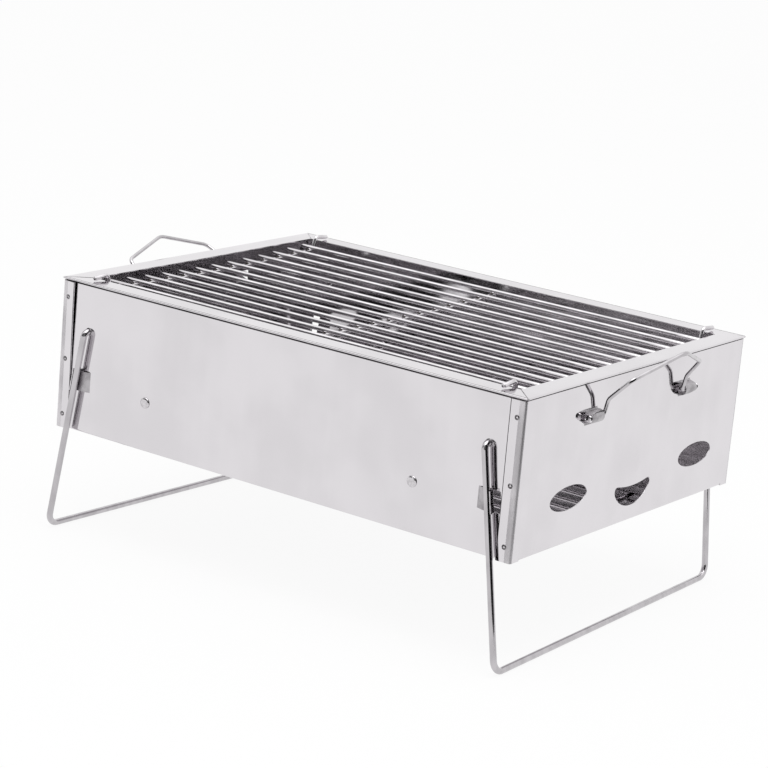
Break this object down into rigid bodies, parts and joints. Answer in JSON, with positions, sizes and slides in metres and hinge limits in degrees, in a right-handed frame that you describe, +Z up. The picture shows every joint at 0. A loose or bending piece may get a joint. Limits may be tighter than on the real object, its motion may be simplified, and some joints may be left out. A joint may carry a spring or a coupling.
{
  "type": "camping charcoal grill",
  "caption": "Folding box-shaped charcoal grill of polished sheet steel with wire cooking and charcoal grates, vented ends, swinging wire handles and folding wire legs.",
  "frame": {"origin": "on the ground under the middle of the box, with the legs out", "axes": "+X along the length towards the right handle, +Y from the front panel to the rear panel, +Z up"},
  "size_m": [0.4052, 0.2602, 0.1785],
  "materials": {
    "panel_sheet": "mirror-bright stainless steel sheet, slightly wavy",
    "floor_sheet": "bright stainless steel sheet",
    "rivet_steel": "bright steel, domed head",
    "frame_wire": "plated bright steel wire",
    "grate_wire": "plated bright steel wire, welded",
    "charcoal_wire": "plated bright steel wire, welded"
  },
  "bodies": {
    "box": {"front_panel": "panel_sheet", "rear_panel": "panel_sheet", "right_end_panel": "panel_sheet", "left_end_panel": "panel_sheet", "floor_plate": "floor_sheet", "support_pin_front_left": "rivet_steel", "support_pin_front_right": "rivet_steel", "support_pin_rear_left": "rivet_steel", "support_pin_rear_right": "rivet_steel", "corner_rivet_front_left_01": "rivet_steel", "corner_rivet_front_left_02": "rivet_steel", "corner_rivet_front_left_03": "rivet_steel", "corner_rivet_front_right_01": "rivet_steel", "corner_rivet_front_right_02": "rivet_steel", "corner_rivet_front_right_03": "rivet_steel", "corner_rivet_rear_left_01": "rivet_steel", "corner_rivet_rear_left_02": "rivet_steel", "corner_rivet_rear_left_03": "rivet_steel", "corner_rivet_rear_right_01": "rivet_steel", "corner_rivet_rear_right_02": "rivet_steel", "corner_rivet_rear_right_03": "rivet_steel"},
    "right_leg": {"right_leg": "frame_wire"},
    "left_leg": {"left_leg": "frame_wire"},
    "right_handle": {"right_handle": "frame_wire"},
    "left_handle": {"left_handle": "frame_wire"},
    "cooking_grate": {"cooking_grate_bar_01": "grate_wire", "cooking_grate_bar_02": "grate_wire", "cooking_grate_bar_03": "grate_wire", "cooking_grate_bar_04": "grate_wire", "cooking_grate_bar_05": "grate_wire", "cooking_grate_bar_06": "grate_wire", "cooking_grate_bar_07": "grate_wire", "cooking_grate_bar_08": "grate_wire", "cooking_grate_bar_09": "grate_wire", "cooking_grate_bar_10": "grate_wire", "cooking_grate_bar_11": "grate_wire", "cooking_grate_bar_12": "grate_wire", "cooking_grate_bar_13": "grate_wire", "cooking_grate_cross_left": "grate_wire", "cooking_grate_cross_middle": "grate_wire", "cooking_grate_cross_right": "grate_wire"},
    "charcoal_grate": {"charcoal_grate_bar_01": "charcoal_wire", "charcoal_grate_bar_02": "charcoal_wire", "charcoal_grate_bar_03": "charcoal_wire", "charcoal_grate_bar_04": "charcoal_wire", "charcoal_grate_bar_05": "charcoal_wire", "charcoal_grate_bar_06": "charcoal_wire", "charcoal_grate_bar_07": "charcoal_wire", "charcoal_grate_bar_08": "charcoal_wire", "charcoal_grate_bar_09": "charcoal_wire", "charcoal_grate_bar_10": "charcoal_wire", "charcoal_grate_bar_11": "charcoal_wire", "charcoal_grate_bar_12": "charcoal_wire", "charcoal_grate_bar_13": "charcoal_wire", "charcoal_grate_bar_14": "charcoal_wire", "charcoal_grate_bar_15": "charcoal_wire", "charcoal_grate_cross_left": "charcoal_wire", "charcoal_grate_cross_middle": "charcoal_wire", "charcoal_grate_cross_right": "charcoal_wire"}
  },
  "joints": [
    {"name": "right_leg_fold", "type": "hinge", "parent": "box", "child": "right_leg", "pos_m": [0.1515, 0, 0.13325], "axis": [0, 1, 0], "range_deg": [0, 64]},
    {"name": "left_leg_fold", "type": "hinge", "parent": "box", "child": "left_leg", "pos_m": [-0.1515, 0, 0.13325], "axis": [0, -1, 0], "range_deg": [0, 64]},
    {"name": "right_handle_swing", "type": "hinge", "parent": "box", "child": "right_handle", "pos_m": [0.1776, 0, 0.14225], "axis": [0, 1, 0], "range_deg": [-18, 130]},
    {"name": "left_handle_swing", "type": "hinge", "parent": "box", "child": "left_handle", "pos_m": [-0.1776, 0, 0.14225], "axis": [0, -1, 0], "range_deg": [-18, 130]},
    {"name": "cooking_grate_lift", "type": "slide", "parent": "box", "child": "cooking_grate", "axis": [0, 0, 1], "range_m": [0, 0.06]},
    {"name": "charcoal_grate_lift", "type": "slide", "parent": "box", "child": "charcoal_grate", "axis": [0, 0, 1], "range_m": [0, 0.045]}
  ]
}
